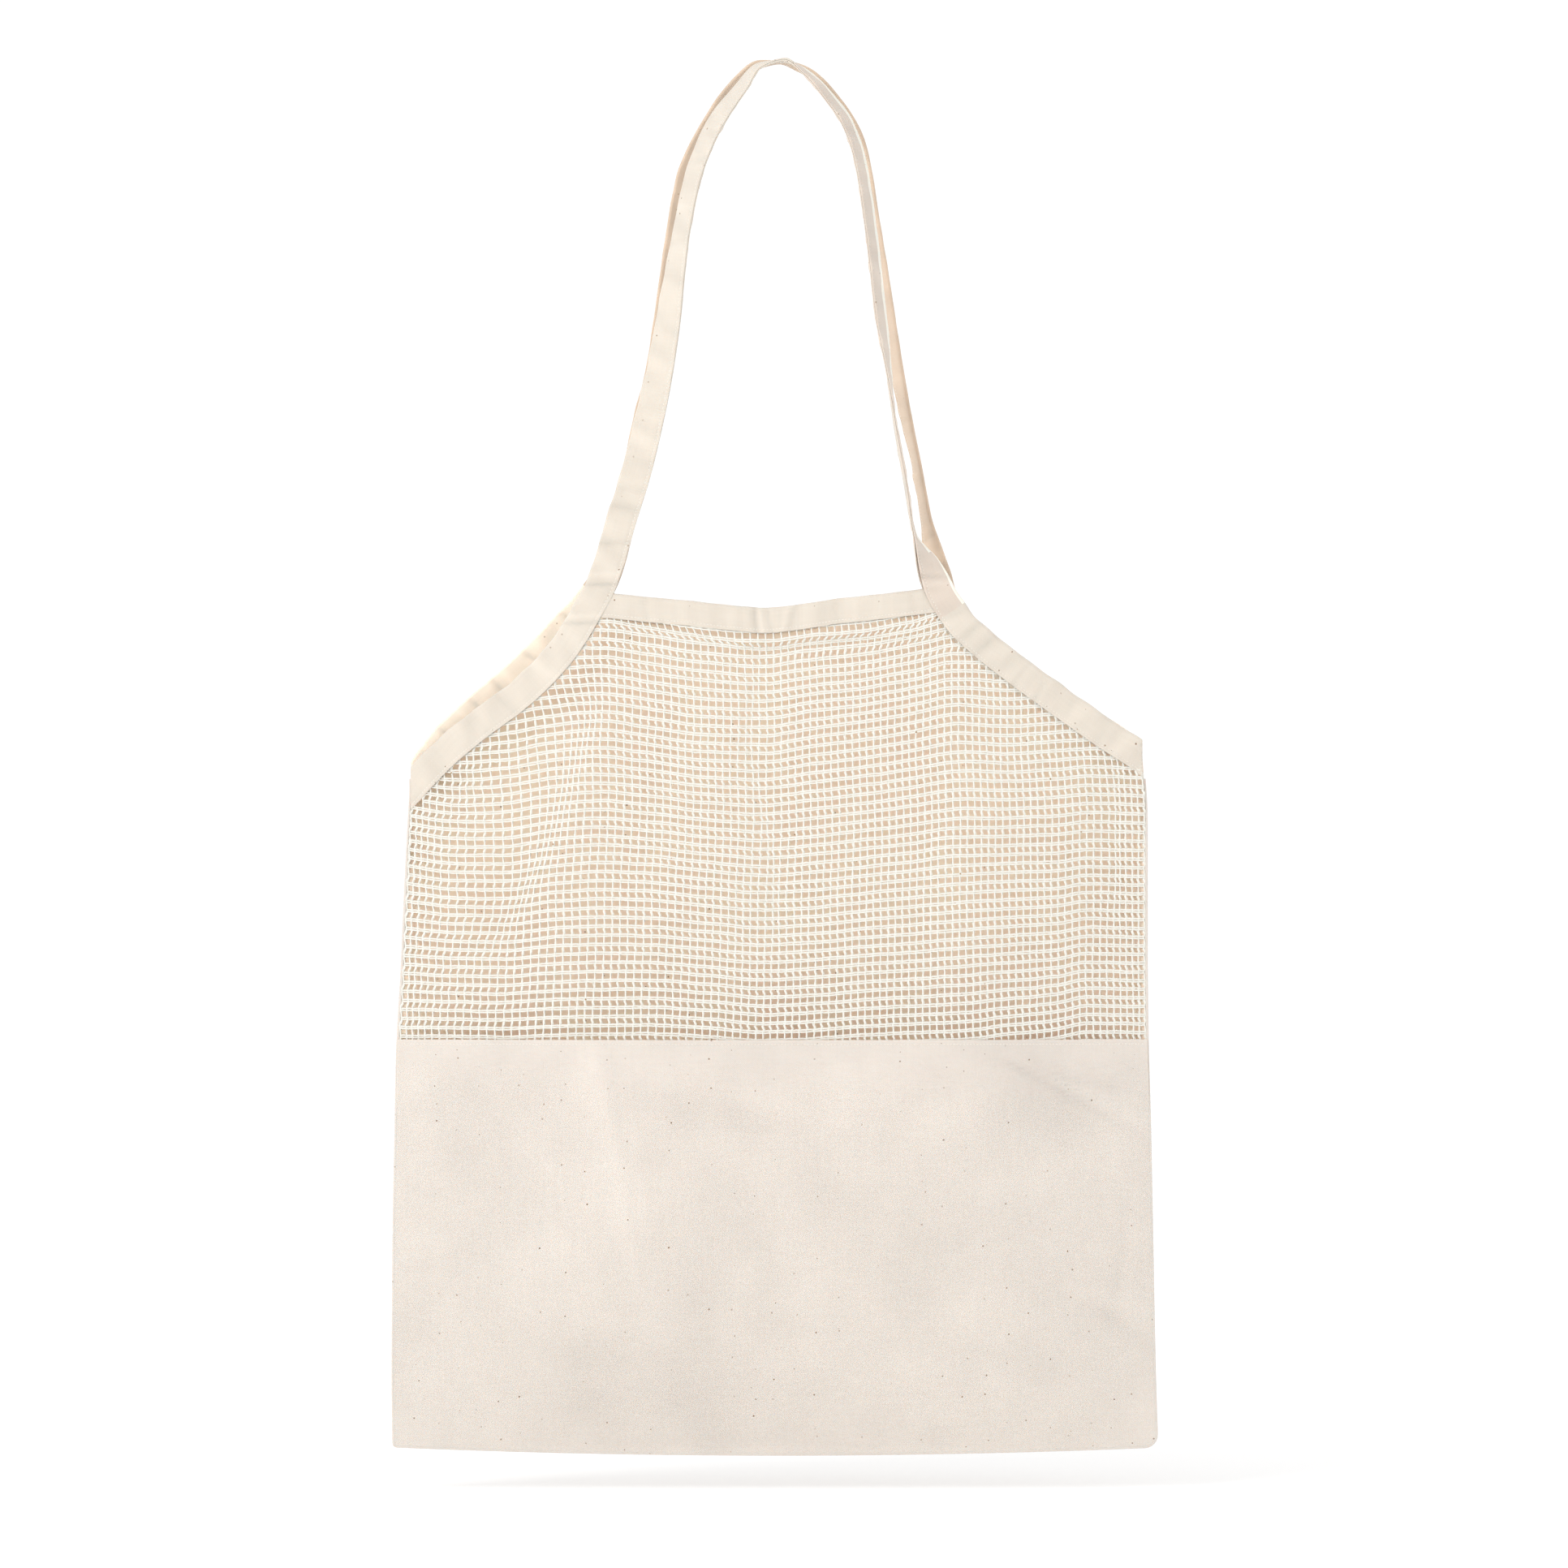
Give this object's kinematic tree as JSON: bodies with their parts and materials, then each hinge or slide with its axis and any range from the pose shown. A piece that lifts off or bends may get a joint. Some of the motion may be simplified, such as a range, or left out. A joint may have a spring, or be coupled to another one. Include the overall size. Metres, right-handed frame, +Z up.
{
  "type": "cotton tote bag with a net front",
  "caption": "Open-topped cotton shopping bag with a net upper front, plain lower half and back, tape-bound shoulders and long tape handles, shown hanging.",
  "frame": {"origin": "underside of the handles where they bear on the peg that the bag hangs from, midway between the two handles", "axes": "+Z up, +X to the right as one faces the net front, +Y away behind the bag"},
  "size_m": [0.3809, 0.0394, 0.6961],
  "materials": {
    "plain_cotton": "unbleached plain weave cotton with seed flecks",
    "cotton_tape": "folded strip of the same cotton, stitched along one edge",
    "cotton_net": "open leno net of soft twisted cotton yarn"
  },
  "bodies": {
    "root": {"front_net_panel": "cotton_net", "front_cloth_panel": "plain_cotton", "back_cloth_panel": "plain_cotton", "front_mouth_binding": "cotton_tape", "back_mouth_binding": "cotton_tape", "front_handle_tape": "cotton_tape", "back_handle_tape": "cotton_tape"}
  },
  "joints": []
}
